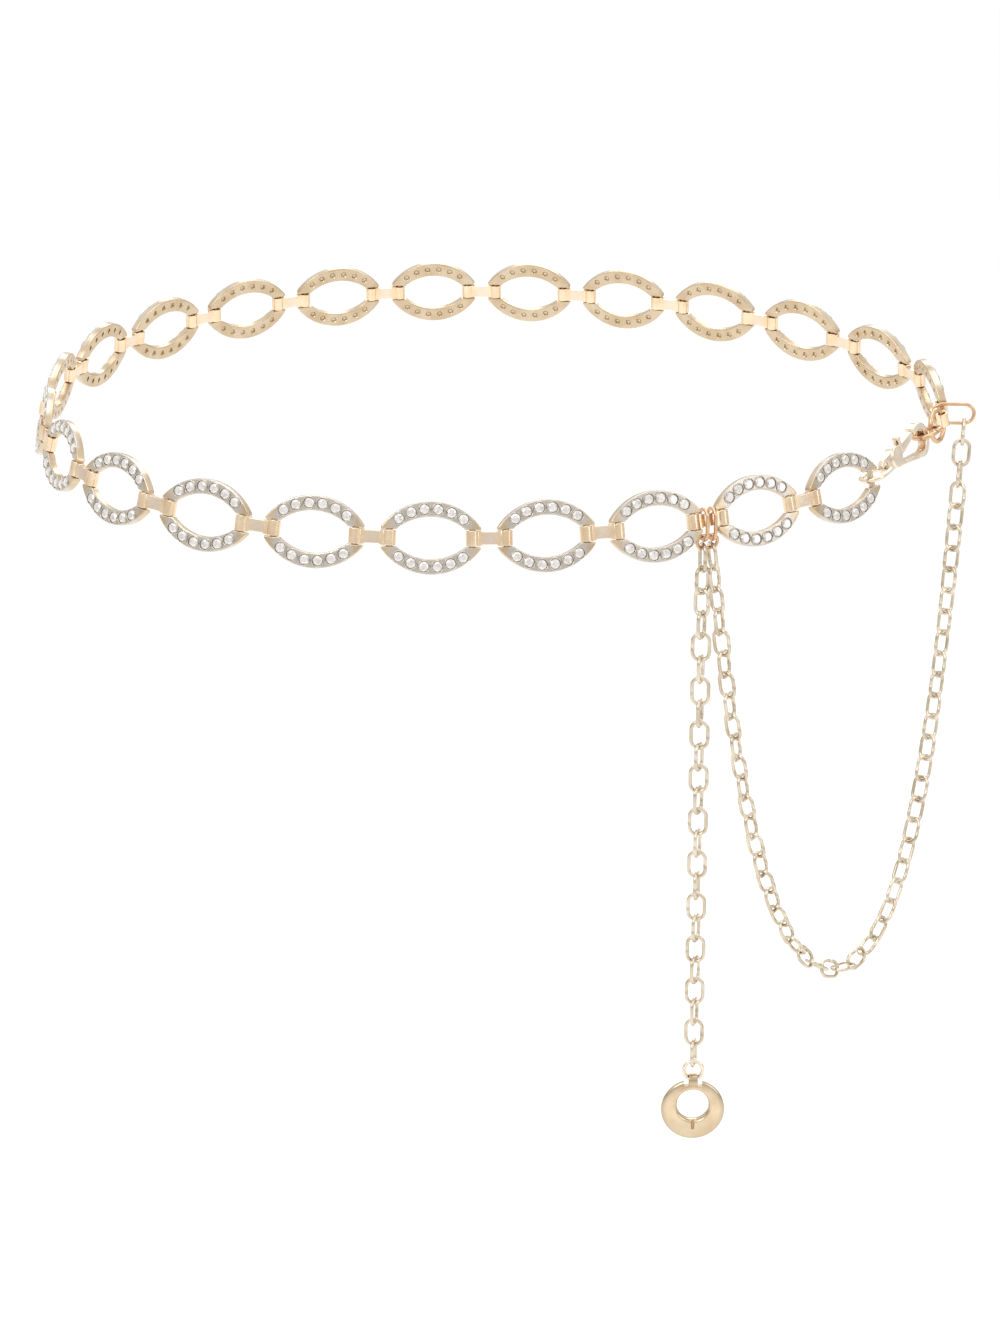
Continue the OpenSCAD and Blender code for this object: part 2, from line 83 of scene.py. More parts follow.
@dataclass(frozen=True)
class Place:
    """Axes and middle of a piece in the model's frame, in metres."""

    along: np.ndarray
    upward: np.ndarray
    outward: np.ndarray
    middle: np.ndarray

    def world(self, points: np.ndarray) -> np.ndarray:
        """Moves points in local millimetres to the model's frame."""
        return self.middle + MM * points @ np.array([self.along, self.upward, self.outward])

    def local(self, points: np.ndarray) -> np.ndarray:
        """Gives points of the model's frame in local millimetres."""
        return (points - self.middle) @ np.array([self.along, self.upward, self.outward]).T / MM

    def extents(self, points: np.ndarray) -> tuple[np.ndarray, np.ndarray]:
        """Gives the lowest and highest reach of points along the three axes, in millimetres."""
        local = self.local(points)
        return local.min(0), local.max(0)

    def shifted(self, along: float, upward: float, outward: float) -> "Place":
        """Gives the same axes with the middle moved, in millimetres."""
        step = MM * (along * self.along + upward * self.upward + outward * self.outward)
        return Place(self.along, self.upward, self.outward, self.middle + step)


@dataclass
class Shape:
    """Points and faces, with the local millimetres of each point and a glint for each face."""

    points: np.ndarray
    faces: list[tuple[int, ...]]
    local: np.ndarray | None = None
    glint: np.ndarray | None = None

    def placed(self, place: Place) -> "Shape":
        """Moves a shape in local millimetres to its place, and keeps the local points."""
        return Shape(place.world(self.points), self.faces, self.points, self.glint)

    @staticmethod
    def joined(shapes: Iterable["Shape"]) -> "Shape":
        """Joins shapes into one.

        Args:
            shapes: the shapes, all of them local or all of them placed.

        Returns:
            One shape that holds all their points and faces.
        """
        parts = list(shapes)
        starts = np.cumsum([0] + [len(part.points) for part in parts])
        faces = [tuple(i + start for i in f) for part, start in zip(parts, starts) for f in part.faces]
        local = [p.local if p.local is not None else p.points for p in parts]
        glint = [p.glint if p.glint is not None else np.zeros(len(p.faces)) for p in parts]
        return Shape(np.vstack([p.points for p in parts]), faces, np.vstack(local), np.concatenate(glint))

    def mesh(self, name: str) -> bpy.types.Mesh:
        """Makes a mesh with outward faces.

        Args:
            name: the mesh's name.

        Returns:
            The mesh, with the local points and the glints as attributes.
        """
        made = bpy.data.meshes.new(name)
        made.from_pydata(self.points.tolist(), [], self.faces)
        local = self.local if self.local is not None else self.points
        made.attributes.new("local", "FLOAT_VECTOR", "POINT").data.foreach_set(
            "vector", np.ascontiguousarray(local, np.float32).ravel())
        if self.glint is not None:
            made.attributes.new("glint", "FLOAT", "FACE").data.foreach_set(
                "value", np.ascontiguousarray(self.glint, np.float32))
        work = bmesh.new()
        work.from_mesh(made)
        bmesh.ops.recalc_face_normals(work, faces=work.faces)
        work.to_mesh(made)
        work.free()
        return made

    @staticmethod
    def of_mesh(mesh: bpy.types.Mesh) -> "Shape":
        """Reads the points and faces of a mesh."""
        points = np.array([v.co for v in mesh.vertices])
        return Shape(points, [tuple(p.vertices) for p in mesh.polygons])


def lofted(rings: Sequence[np.ndarray], looped: bool = False) -> Shape:
    """Skins a row of rings of equal count.

    Args:
        rings: the rings, each an array of points.
        looped: whether the last ring meets the first; otherwise both ends are capped.

    Returns:
        The closed shape.
    """
    count, turns = len(rings[0]), len(rings)
    faces: list[tuple[int, ...]] = []
    for i in range(turns if looped else turns - 1):
        this, after = i * count, (i + 1) % turns * count
        for j in range(count):
            k = (j + 1) % count
            faces.append((this + j, this + k, after + k, after + j))
    if not looped:
        faces.append(tuple(range(count))[::-1])
        faces.append(tuple((turns - 1) * count + j for j in range(count)))
    return Shape(np.vstack(rings), faces)


def circle(radius: float, sides: int, turn: float = 0.0) -> np.ndarray:
    """Points round a circle in the first two axes."""
    angle = np.arange(sides) * 2 * math.pi / sides + turn
    return np.stack([radius * np.cos(angle), radius * np.sin(angle), np.zeros(sides)], 1)


def turned(profile: Sequence[tuple[float, float]], sides: int, looped: bool = False) -> Shape:
    """Turns a profile of (radius, height) round the third axis."""
    return lofted([circle(radius, sides) + [0, 0, height] for radius, height in profile], looped)


def evaluated(item: bpy.types.Object, name: str) -> bpy.types.Mesh:
    """Applies an object's modifiers, and deletes the object.

    Args:
        item: the object.
        name: the new mesh's name.

    Returns:
        The mesh with the modifiers applied.
    """
    bpy.context.view_layer.update()
    mesh = bpy.data.meshes.new_from_object(item.evaluated_get(bpy.context.evaluated_depsgraph_get()))
    mesh.name = name
    bpy.data.objects.remove(item)
    return mesh


def scratch_object(mesh: bpy.types.Mesh) -> bpy.types.Object:
    """Puts a mesh in the scene for a moment.

    Args:
        mesh: the mesh.

    Returns:
        The object, which the caller deletes.
    """
    item = bpy.data.objects.new(mesh.name, mesh)
    bpy.context.scene.collection.objects.link(item)
    return item


def carved(body: Shape, tool: Shape) -> Shape:
    """Cuts one shape by another.

    Args:
        body: the shape that is kept.
        tool: the shape that cuts it.

    Returns:
        The new shape, in the body's own units.
    """
    item, cutter = scratch_object(body.mesh("body")), scratch_object(tool.mesh("tool"))
    carve = item.modifiers.new("carve", "BOOLEAN")
    carve.operation, carve.solver, carve.object = "DIFFERENCE", "EXACT", cutter
    result = Shape.of_mesh(evaluated(item, "carved"))
    bpy.data.objects.remove(cutter)
    return result


@dataclass(frozen=True)
class Solid:
    """Welded triangles of a CAD node, or of one loose piece of it."""

    points: np.ndarray
    triangles: np.ndarray

    @classmethod
    def of_node(cls, node: str) -> "Solid":
        """Reads a node's mesh and welds its points.

        Args:
            node: the CAD node.

        Returns:
            The solid, in metres in the model's frame.
        """
        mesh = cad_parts[node].data
        mesh.calc_loop_triangles()
        points = np.empty(len(mesh.vertices) * 3)
        mesh.vertices.foreach_get("co", points)
        triangles = np.empty(len(mesh.loop_triangles) * 3, np.int64)
        mesh.loop_triangles.foreach_get("vertices", triangles)
        points = points.reshape(-1, 3)
        cells = np.round(points / WELD)
        _, first, again = np.unique(cells, axis=0, return_index=True, return_inverse=True)
        return cls(points[first], again.ravel()[triangles].reshape(-1, 3))

    def loose_pieces(self) -> list["Solid"]:
        """Splits the solid into the pieces that don't touch.

        Returns:
            The pieces, in the order of their first points.
        """
        label = np.arange(len(self.points))
        while True:
            low = label[self.triangles].min(1)
            after = label.copy()
            np.minimum.at(after, self.triangles.ravel(), np.repeat(low, 3))
            after = after[after]
            if (after == label).all():
                break
            label = after
        owner = label[self.triangles[:, 0]]
        pieces = []
        for piece in np.unique(owner):
            own = self.triangles[owner == piece]
            used, again = np.unique(own, return_inverse=True)
            pieces.append(Solid(self.points[used], again.reshape(-1, 3)))
        return pieces

    def place(self) -> Place:
        """Measures the axes of a symmetric piece, longest first, from its surface.

        Returns:
            The place, with outward away from the middle of the loop and upward not down.
        """
        a, b, c = (self.points[self.triangles[:, i]] for i in range(3))
        area = np.linalg.norm(np.cross(b - a, c - a), axis=1) / 2
        total = a + b + c
        centre = (total / 3 * area[:, None]).sum(0) / area.sum()
        moment = sum(np.einsum("n,ni,nj->ij", area, p, p) for p in (a, b, c, total)) / 12 / area.sum()
        _, axes = np.linalg.eigh(moment - np.outer(centre, centre))
        upward, outward = axes[:, 1], axes[:, 0]
        outward = outward * (1 if outward[:2] @ centre[:2] > 0 else -1)
        upward = upward * (1 if upward[2] > 0 else -1)
        rough = Place(np.cross(upward, outward), upward, outward, centre)
        low, high = rough.extents(self.points)
        return rough.shifted(*(low + high) / 2)


# Shaders


class Value:
    """A number in a shader, on which Python's operators add Math nodes."""

    def __init__(self, graph: "ShaderGraph", socket: bpy.types.NodeSocket) -> None:
        """Wraps an output socket of the graph."""
        self.graph = graph
        self.socket = socket

    def math(self, operation: str, *values: Number) -> "Value":
        """Adds a Math node with this operation and these values."""
        return self.graph.number("ShaderNodeMath", {"operation": operation}, dict(enumerate(values)))

    def __add__(self, other: Number) -> "Value":
        """Adds."""
        return self.math("ADD", self, other)

    __radd__ = __add__

    def __sub__(self, other: Number) -> "Value":
        """Takes away."""
        return self.math("SUBTRACT", self, other)

    def __rsub__(self, other: Number) -> "Value":
        """Takes this away from a number."""
        return self.math("SUBTRACT", other, self)

    def __mul__(self, other: Number) -> "Value":
        """Multiplies."""
        return self.math("MULTIPLY", self, other)

    __rmul__ = __mul__

    def __abs__(self) -> "Value":
        """Drops the sign."""
        return self.math("ABSOLUTE", self)

    def step(self, low: float, high: float) -> "Value":
        """Rises smoothly from 0 at low to 1 at high."""
        return self.graph.number("ShaderNodeMapRange", {"interpolation_type": "SMOOTHSTEP"},
                                 {"Value": self, "From Min": low, "From Max": high})


class ShaderGraph:
    """A material's nodes."""

    def __init__(self, name: str) -> None:
        """Starts an empty material."""
        self.material = bpy.data.materials.new(name)
        self.material.use_nodes = True
        self.material.node_tree.nodes.clear()

    def node(self, kind: str, settings: dict[str, Any], inputs: dict[Any, Any]) -> bpy.types.Node:
        """Makes a node.

        Args:
            kind: the node's type.
            settings: its settings, set first.
            inputs: a value, a Value or a socket for each input, by name or place.

        Returns:
            The node.
        """
        tree = self.material.node_tree
        made = tree.nodes.new(kind)
        for name, setting in settings.items():
            setattr(made, name, setting)
        for key, value in inputs.items():
            socket = made.inputs[key]
            if isinstance(value, (Value, bpy.types.NodeSocket)):
                tree.links.new(value.socket if isinstance(value, Value) else value, socket)
            else:
                socket.default_value = value
        return made

    def number(self, kind: str, settings: dict[str, Any], inputs: dict[Any, Any]) -> Value:
        """Makes a node and wraps its first output."""
        return Value(self, self.node(kind, settings, inputs).outputs[0])

    def noise(self, place: bpy.types.NodeSocket, scale: float, detail: float, roughness: float) -> Value:
        """Makes a noise over a place."""
        return self.number("ShaderNodeTexNoise", {},
                           {"Vector": place, "Scale": scale, "Detail": detail, "Roughness": roughness})

    def blend(self, share: Number, first: Any, second: Any) -> bpy.types.NodeSocket:
        """Mixes two colours.

        Args:
            share: the second colour's share.
            first: a colour, or a socket that gives one.
            second: a colour, or a socket that gives one.

        Returns:
            The mixed colour's socket.
        """
        colours = [(*c, 1.0) if isinstance(c, tuple) else c for c in (first, second)]
        mixed = self.node("ShaderNodeMix", {"data_type": "RGBA"}, {0: share, 6: colours[0], 7: colours[1]})
        return mixed.outputs[2]

    def bump(self, height: Value, strength: float, distance: float) -> bpy.types.NodeSocket:
        """Turns a height into a normal.

        Args:
            height: the height, from 0 to 1.
            strength: the bump's strength.
            distance: the height's range, in metres.

        Returns:
            The normal's socket.
        """
        made = self.node("ShaderNodeBump", {}, {"Height": height, "Strength": strength, "Distance": distance})
        return made.outputs[0]

    def place(self) -> bpy.types.NodeSocket:
        """Gives the place in the piece's own frame."""
        return self.node("ShaderNodeTexCoord", {}, {}).outputs["Object"]

    def local(self) -> tuple[Value, Value, Value]:
        """Gives the local millimetres along, upward and outward, which the meshes hold."""
        stored = self.node("ShaderNodeAttribute", {"attribute_name": "local"}, {}).outputs["Vector"]
        split = self.node("ShaderNodeSeparateXYZ", {}, {0: stored})
        return tuple(Value(self, socket) for socket in split.outputs)

    def finish(self, inputs: dict[str, Any]) -> bpy.types.Material:
        """Ends the material in a Principled shader with these inputs."""
        shader = self.node("ShaderNodeBsdfPrincipled", {}, inputs)
        self.node("ShaderNodeOutputMaterial", {}, {"Surface": shader.outputs[0]})
        return self.material


@dataclass(frozen=True)
class RimWash:
    """Silver on a link's face and on the front half of its outer wall, but not on its tips."""

    colour: Colour = (0.60, 0.56, 0.50)
    half_length: float = 12.8
    half_height: float = 9.4
    face: tuple[float, float] = (0.75, 1.0)
    wall: tuple[float, float] = (0.93, 0.97)
    wall_front: tuple[float, float] = (-0.3, 0.3)
    tips: tuple[float, float] = (9.4, 11.4)

    def share(self, graph: ShaderGraph) -> Value:
        """Finds the wash's share from the link's local millimetres.

        Args:
            graph: the link metal's graph.

        Returns:
            The share, from 0 to 1.
        """
        along, upward, outward = graph.local()
        wide, high = along * (1 / self.half_length), upward * (1 / self.half_height)
        wall = (wide * wide + high * high).step(*self.wall) * outward.step(*self.wall_front)
        face = outward.step(*self.face)
        return face.math("MAXIMUM", face, wall) * (1 - abs(along).step(*self.tips))


@dataclass(frozen=True)
class WaistPaintedHighlight:
    """A painted highlight: a paler middle on a band's waist."""

    colour: Colour = (0.76, 0.68, 0.60)
    strength: float = 0.55
    reach: tuple[float, float] = (0.9, 2.3)

    def share(self, graph: ShaderGraph) -> Value:
        """Finds the painted highlight's share from the band's local millimetres."""
        along, _, _ = graph.local()
        return self.strength * (1 - abs(along).step(*self.reach))


@dataclass(frozen=True)
class RingPaintedShade:
    """Painted shade on the pendant: a darker tone along its rim, round its hole and, fainter, over its lower
    half.
    """

    colour: Colour = (0.42, 0.35, 0.24)
    hole_rise: float = 1.5
    rim: tuple[float, float] = (6.8, 8.7)
    hole: tuple[float, float] = (4.35, 5.5)
    rim_strength: float = 0.8
    hole_strength: float = 0.56
    lower: tuple[float, float] = (-5.0, -1.0)
    lower_strength: float = 0.4

    def share(self, graph: ShaderGraph) -> Value:
        """Finds the painted shade's share from the pendant's local millimetres.

        Args:
            graph: the pendant metal's graph.

        Returns:
            The share, from 0 to 1.
        """
        along, upward, _ = graph.local()
        rise = upward - self.hole_rise
        rim_start, rim_end = (radius ** 2 for radius in self.rim)
        hole_start, hole_end = (radius ** 2 for radius in self.hole)
        rim = self.rim_strength * (along * along + upward * upward).step(rim_start, rim_end)
        hole = self.hole_strength * (1 - (along * along + rise * rise).step(hole_start, hole_end))
        lower = self.lower_strength * (1 - upward.step(*self.lower))
        return rim.math("MAXIMUM", rim.math("MAXIMUM", rim, hole), lower)


@dataclass(frozen=True)
class PlatedMetal:
    """Polished plate over cast metal or wire, with clouding, fine handling marks and slight ripples."""

    name: str
    slot: Slot
    light: Colour
    deep: Colour
    roughness: float
    wash: RimWash | WaistPaintedHighlight | RingPaintedShade | None = None
    cloud_scale: float = 190.0
    grain_scale: float = 2600.0
    ripple_scale: float = 900.0
    ripple_strength: float = 0.12
    ripple_height: float = 0.00006
    ripple_grain: float = 0.4
    cloud_contrast: tuple[float, float] = (0.32, 0.68)
    dull_cloud: tuple[float, float] = (0.5, 0.7)
    dull_cloud_roughness: float = 0.05
    marks: tuple[float, float] = (0.35, 0.8)
    marks_roughness: float = 0.12
    # Grain through the wash: wear of the silver plating on the links, a breakup of the painted highlight and
    # painted shade on the bands and pendant.
    wash_grain: float = 0.2

    def material(self) -> bpy.types.Material:
        """Builds the material.

        Returns:
            The material, with its wash if it has one.
        """
        graph = ShaderGraph(self.name)
        place = graph.place()
        cloud = graph.noise(place, self.cloud_scale, 2.0, 0.5)
        grain = graph.noise(place, self.grain_scale, 3.0, 0.6)
        ripple = graph.noise(place, self.ripple_scale, 2.0, 0.5)
        colour = graph.blend(cloud.step(*self.cloud_contrast), self.deep, self.light)
        # The wash is silver plating on the links, a painted highlight on the band waists and painted shade on
        # the pendant.
        if self.wash is not None:
            grained_share = (1 - self.wash_grain) + self.wash_grain * grain
            colour = graph.blend(self.wash.share(graph) * grained_share, colour, self.wash.colour)
        dulled = self.marks_roughness * grain.step(*self.marks)
        clouded = self.dull_cloud_roughness * cloud.step(*self.dull_cloud)
        height = ripple + self.ripple_grain * grain
        return graph.finish({
            "Base Color": colour, "Metallic": 1.0, "Roughness": self.roughness + dulled + clouded,
            "Normal": graph.bump(height, self.ripple_strength, self.ripple_height)})


@dataclass(frozen=True)
class FoiledCrystal:
    """Clear cut glass over a silver foil under a hard gloss; each facet's glint is painted into its colour,
    from painted shade to a painted highlight.
    """

    name: str = "rhinestone"
    slot: Slot = Slot.RHINESTONE
    shade: Colour = (0.40, 0.38, 0.37)
    bright: Colour = (0.84, 0.80, 0.76)
    foil: float = 0.55
    roughness: float = 0.09
    speck_scale: float = 1500.0
    speck_tone: float = 0.12
    speck_roughness: float = 0.05
    coat_roughness: float = 0.02
    refraction: float = 1.6

    def material(self) -> bpy.types.Material:
        """Builds the material.

        Returns:
            The material, which reads the facets' painted glints.
        """
        graph = ShaderGraph(self.name)
        stored = graph.node("ShaderNodeAttribute", {"attribute_name": "glint"}, {})
        glint = Value(graph, stored.outputs["Fac"])
        speck = graph.noise(graph.place(), self.speck_scale, 1.0, 0.5)
        # Painted glints and shade: each facet's stored glint mixes its colour between shade and bright.
        return graph.finish({
            "Base Color": graph.blend(glint + self.speck_tone * (speck - 0.5), self.shade, self.bright),
            "Metallic": self.foil, "Roughness": self.roughness + self.speck_roughness * speck,
            "Coat Weight": 1.0, "Coat Roughness": self.coat_roughness, "Coat IOR": self.refraction})


@dataclass(frozen=True)
class Backdrop:
    """Pale matt paper."""

    name: str = "pale_paper"
    tone: Colour = (0.96, 0.96, 0.955)
    cloud_scale: float = 3.0
    cloud_tone: float = 0.985
    roughness: float = 0.9

    def material(self) -> bpy.types.Material:
        """Builds the material with a faint unevenness.

        Returns:
            The material.
        """
        graph = ShaderGraph(self.name)
        cloud = graph.noise(graph.place(), self.cloud_scale, 2.0, 0.5)
        darker = tuple(self.cloud_tone * c for c in self.tone)
        colour = graph.blend(cloud, darker, self.tone)
        return graph.finish({"Base Color": colour, "Roughness": self.roughness})


class Dresser:
    """Makes the scene's pieces, hangs each on its body, hides the CAD nodes that it stands for and gives it
    its finish.
    """

    def __init__(self, finishes: Iterable[PlatedMetal | FoiledCrystal]) -> None:
        """Builds one material for each finish."""
        self.materials = {finish.name: (finish.material(), finish.slot) for finish in finishes}

    def piece(self, name: str, shape: Shape, finish: str, body: Body, nodes: Sequence[str] = (),
              crease: float | None = 38.0) -> bpy.types.Object:
        """Puts a placed shape in the scene.

        Args:
            name: the piece's name.
            shape: the shape, in metres in the model's frame.
            finish: the name of its finish.
            body: the body that it rides on.
            nodes: the CAD nodes that it stands for.
            crease: the angle above which an edge stays sharp, or None for flat facets.

        Returns:
            The piece.
        """
        mesh = shape.mesh(name)
        if crease is not None:
            mesh.shade_smooth()
            mesh.set_sharp_from_angle(angle=math.radians(crease))
        item = bpy.data.objects.new(name, mesh)
        bpy.context.scene.collection.objects.link(item)
        if crease is not None:
            item.modifiers.new("even_normals", "WEIGHTED_NORMAL").keep_sharp = True
        material, slot = self.materials[finish]
        mesh.materials.append(material)
        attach(item, body.value)
        if nodes:
            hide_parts(*nodes)
        return item


# Pieces


@dataclass(frozen=True)
class Stone:
    """A round stone of brilliant cut, girdle at height 0, in millimetres.

    Each glint is a facet's painted brightness from 0 to 1, painted shade at 0 and a painted glint at 1. A
    pair is for facets that take turns.
    """

    radius: float = 1.4
    table_radius: float = 0.82
    crown: float = 0.42
    girdle: float = 0.06
    pavilion: float = 0.76
    corner_radius: float = 1.14
    folds: int = 8
    table_glints: tuple[float, float] = (0.8, 0.95)
    star_glint: float = 0.75
    kite_glints: tuple[float, float] = (0.6, 0.9)
    edge_glints: tuple[float, float] = (0.75, 0.5)
    girdle_glint: float = 0.3
    pavilion_glint: float = 0.4
    glint_spread: float = 0.2
    lean: float = 0.02

    def shape(self, seed: int) -> Shape:
        """Builds the cut stone.

        Args:
            seed: the stone's number, which sets its glints, turn and tilt.

        Returns:
            The stone, with a table in eight fields of one plane, and its crown and pavilion facets.
        """
        chance = np.random.default_rng(seed)
        n = self.folds
        fall = (self.crown - self.girdle / 2) / (self.radius - self.table_radius)
        drop = (self.corner_radius * math.cos(math.pi / n) - self.table_radius) * fall
        rings = [np.array([[0, 0, self.crown]]), circle(self.table_radius, n) + [0, 0, self.crown],
                 circle(self.corner_radius, n, math.pi / n) + [0, 0, self.crown - drop],
                 circle(self.radius, 2 * n) + [0, 0, self.girdle / 2],
                 circle(self.radius, 2 * n) - [0, 0, self.girdle / 2], np.array([[0, 0, -self.pavilion]])]
        table, corner, upper, lower, culet = np.cumsum([1, n, n, 2 * n, 2 * n])
        faces: list[tuple[int, ...]] = []
        glint: list[float] = []
        for k in range(n):
            after, before = (k + 1) % n, (k - 1) % n
            faces.append((0, table + k, table + after))
            glint.append(self.table_glints[k % 2])
            faces.append((table + k, corner + k, table + after))
            glint.append(self.star_glint)
            faces.append((table + k, corner + before, upper + 2 * k, corner + k))
            glint.append(self.kite_glints[k % 2])
            for j in (2 * k, 2 * k + 1):
                faces.append((corner + k, upper + j, upper + (j + 1) % (2 * n)))
                glint.append(self.edge_glints[j % 2])
        for j in range(2 * n):
            k = (j + 1) % (2 * n)
            faces += [(upper + j, lower + j, lower + k, upper + k), (lower + j, culet, lower + k)]
            glint += [self.girdle_glint, self.pavilion_glint]
        turn, lean = chance.uniform(0, 2 * math.pi), chance.normal(0, self.lean, 2)
        points = np.vstack(rings)
        x, y = points[:, 0].copy(), points[:, 1].copy()
        points[:, 0] = x * math.cos(turn) - y * math.sin(turn)
        points[:, 1] = x * math.sin(turn) + y * math.cos(turn)
        points[:, 2] += points[:, :2] @ lean
        spread = chance.normal(0, self.glint_spread, len(glint))
        return Shape(points, faces, None, np.clip(np.array(glint) + spread, 0.0, 1.0))


@dataclass
class OvalLinks:
    """The pierced oval links with their pins, collars and stones, in millimetres."""

    dresser: Dresser
    count: int = 22
    length: float = 25.6
    height: float = 18.8
    thickness: float = 2.2
    tip_height: float = 5.6
    rim: float = 4.0
    opening: float = 21.8
    pin_d: float = 1.7
    pin_inset: float = 2.2
    slot_half: float = 2.19
    rounding: float = 0.34
    stones_per_rim: int = 6
    stone_pitch: float = 3.5
    seat_depth: float = 0.9
    seat_r: float = 1.45
    pit_r: float = 0.65
    pit_flare: float = 0.22
    pit_depth: float = 0.7
    collar_r: float = 1.7
    collar_height: float = 0.35
    collar_sink: float = 0.05
    pin_bite: float = 0.4
    foil_margin: float = 0.1
    sides: int = 20
    foil_sides: int = 16
    outer_points: int = 45
    inner_points: int = 41
    stone: Stone = field(default_factory=Stone)

    def arc(self, length: float, rise: float, middle: float) -> tuple[float, float]:
        """Gives the radius and the middle's height of an arc over a chord, with its crown at middle."""
        radius = ((length / 2) ** 2 + rise ** 2) / (2 * rise)
        return radius, middle - radius

    def outline(self, inset: float) -> np.ndarray:
        """Gives the outline of the upper rim.

        Args:
            inset: the distance by which it is drawn in on all sides.

        Returns:
            The same number of points for any inset, anticlockwise.
        """
        outer_r, outer_y = self.arc(self.length, (self.height - self.tip_height) / 2, self.height / 2)
        half_opening = self.height / 2 - self.rim
        inner_r, inner_y = self.arc(self.opening, half_opening, half_opening)
        outer_r, inner_r = outer_r - inset, inner_r + inset
        end, low = self.length / 2 - inset, self.slot_half + inset
        meet = math.sqrt(inner_r ** 2 - (low - inner_y) ** 2)
        x = outer_r * np.sin(np.linspace(1, -1, self.outer_points) * math.asin(end / outer_r))
        top = np.stack([x, outer_y + np.sqrt(outer_r ** 2 - x ** 2)], 1)
        x = inner_r * np.sin(np.linspace(-1, 1, self.inner_points) * math.asin(meet / inner_r))
        under = np.stack([x, inner_y + np.sqrt(inner_r ** 2 - x ** 2)], 1)
        steps = np.linspace(0, 1, 4)[:, None]
        left = np.array([-end, low]) * (1 - steps) + under[0] * steps
        right = under[-1] * (1 - steps) + np.array([end, low]) * steps
        flat = np.vstack([top, left[:-1], under, right[1:]])
        return np.hstack([flat, np.zeros((len(flat), 1))])

    def rim_shape(self) -> Shape:
        """Lofts the upper rim through its rounded edges.

        Returns:
            The rim, face up.
        """
        quarter = np.radians([0, 30, 60, 90])
        half, r = self.thickness / 2, self.rounding
        edge = [(r * (1 - math.sin(a)), half - r * (1 - math.cos(a))) for a in quarter]
        steps = [(inset, -height) for inset, height in edge] + edge[::-1]
        return lofted([self.outline(inset) + [0, 0, height] for inset, height in steps])

    def stone_places(self) -> list[np.ndarray]:
        """Finds the stones' middles on the link's face.

        Returns:
            The middles, the upper rim's first.
        """
        outer_r, _ = self.arc(self.length, (self.height - self.tip_height) / 2, 0)
        half_opening = self.height / 2 - self.rim
        inner_r, _ = self.arc(self.opening, half_opening, 0)
        arc_r, crown = (outer_r + inner_r) / 2, self.height / 2 - self.rim / 2
        places = []
        for side in (1, -1):
            for k in range(self.stones_per_rim):
                angle = (k - (self.stones_per_rim - 1) / 2) * self.stone_pitch / arc_r
                x, y = -arc_r * math.sin(angle), crown - arc_r + arc_r * math.cos(angle)
                places.append(np.array([side * x, side * y, self.thickness / 2]))
        return places

    def cutter(self) -> Shape:
        """Makes the stepped hole of a seat and of the pit behind it.

        Returns:
            The cutter, with the link's face at height 0.
        """
        wide, flare, back = (self.seat_r + self.collar_r) / 2, self.pit_flare, -self.thickness
        profile = [(self.pit_r + 2 * flare, back - flare), (self.pit_r, back + flare),
                   (self.pit_r, -self.seat_depth), (wide, -self.seat_depth), (wide, 1)]
        return turned(profile, self.sides)

    def collar(self) -> Shape:
        """Makes the raised collar round a stone, from the seat's floor to its rounded top.

        Returns:
            The collar, with the link's face at height 0.
        """
        inner, outer, top = self.seat_r, self.collar_r, self.collar_height
        foot = -self.seat_depth - self.collar_sink
        rounded_top = [(outer, top - 0.12), (outer - 0.07, top - 0.02), ((inner + outer) / 2, top),
                       (inner + 0.05, top - 0.03), (inner, top - 0.1)]
        return turned([(inner, foot), (outer, foot), *rounded_top], self.sides, looped=True)

    def link_shape(self) -> Shape:
        """Builds one link in local millimetres.

        Returns:
            Both rims with their seats and pits, the collars, the stones' foil backs and the two pins.
        """
        upper = self.rim_shape()
        lower = Shape(upper.points * [-1, -1, 1], upper.faces)
        places = self.stone_places()
        cutter, collar = self.cutter(), self.collar()
        holes = Shape.joined(Shape(cutter.points + p, cutter.faces) for p in places)
        plate = carved(Shape.joined([upper, lower]), holes)
        foil_r, foil_low = self.pit_r + self.foil_margin, -self.thickness / 2 + self.pit_depth
        foil = turned([(foil_r, foil_low), (foil_r, self.foil_margin)], self.foil_sides)
        pin_r, pin_half = self.pin_d / 2, self.slot_half + self.pin_bite
        pin = turned([(pin_r, -pin_half), (pin_r, pin_half)], self.sides)
        upright = pin.points[:, [0, 2, 1]] * [1, 1, -1]
        pin_x = self.length / 2 - self.pin_inset
        pins = [Shape(upright + [side * pin_x, 0, 0], pin.faces) for side in (-1, 1)]
        set_in = [Shape(collar.points + p, collar.faces) for p in places]
        set_in += [Shape(foil.points + p * [1, 1, 0], foil.faces) for p in places]
        return Shape.joined([plate, *set_in, *pins])

    def build(self) -> None:
        """Builds every link with its stones."""
        link, stones = self.link_shape(), self.stone_places()
        for k in range(1, self.count + 1):
            node = f"link_{k:02d}"
            solid = Solid.of_node(node)
            place = solid.place()
            low, _ = place.extents(solid.points)
            place = place.shifted(0, 0, low[2] + self.thickness / 2)
            plate = Shape(link.points, link.faces).placed(place)
            self.dresser.piece(f"oval_link_{k:02d}", plate, "link_gold", Body.BELT, [node])
            cut = [self.stone.shape(100 * k + i) for i in range(len(stones))]
            gems = Shape.joined(Shape(s.points + p, s.faces, None, s.glint) for s, p in zip(cut, stones))
            self.dresser.piece(f"stones_{k:02d}", gems.placed(place), "rhinestone", Body.BELT, crease=None)
        log.info("oval links: %d with %d stones each", self.count, len(stones))


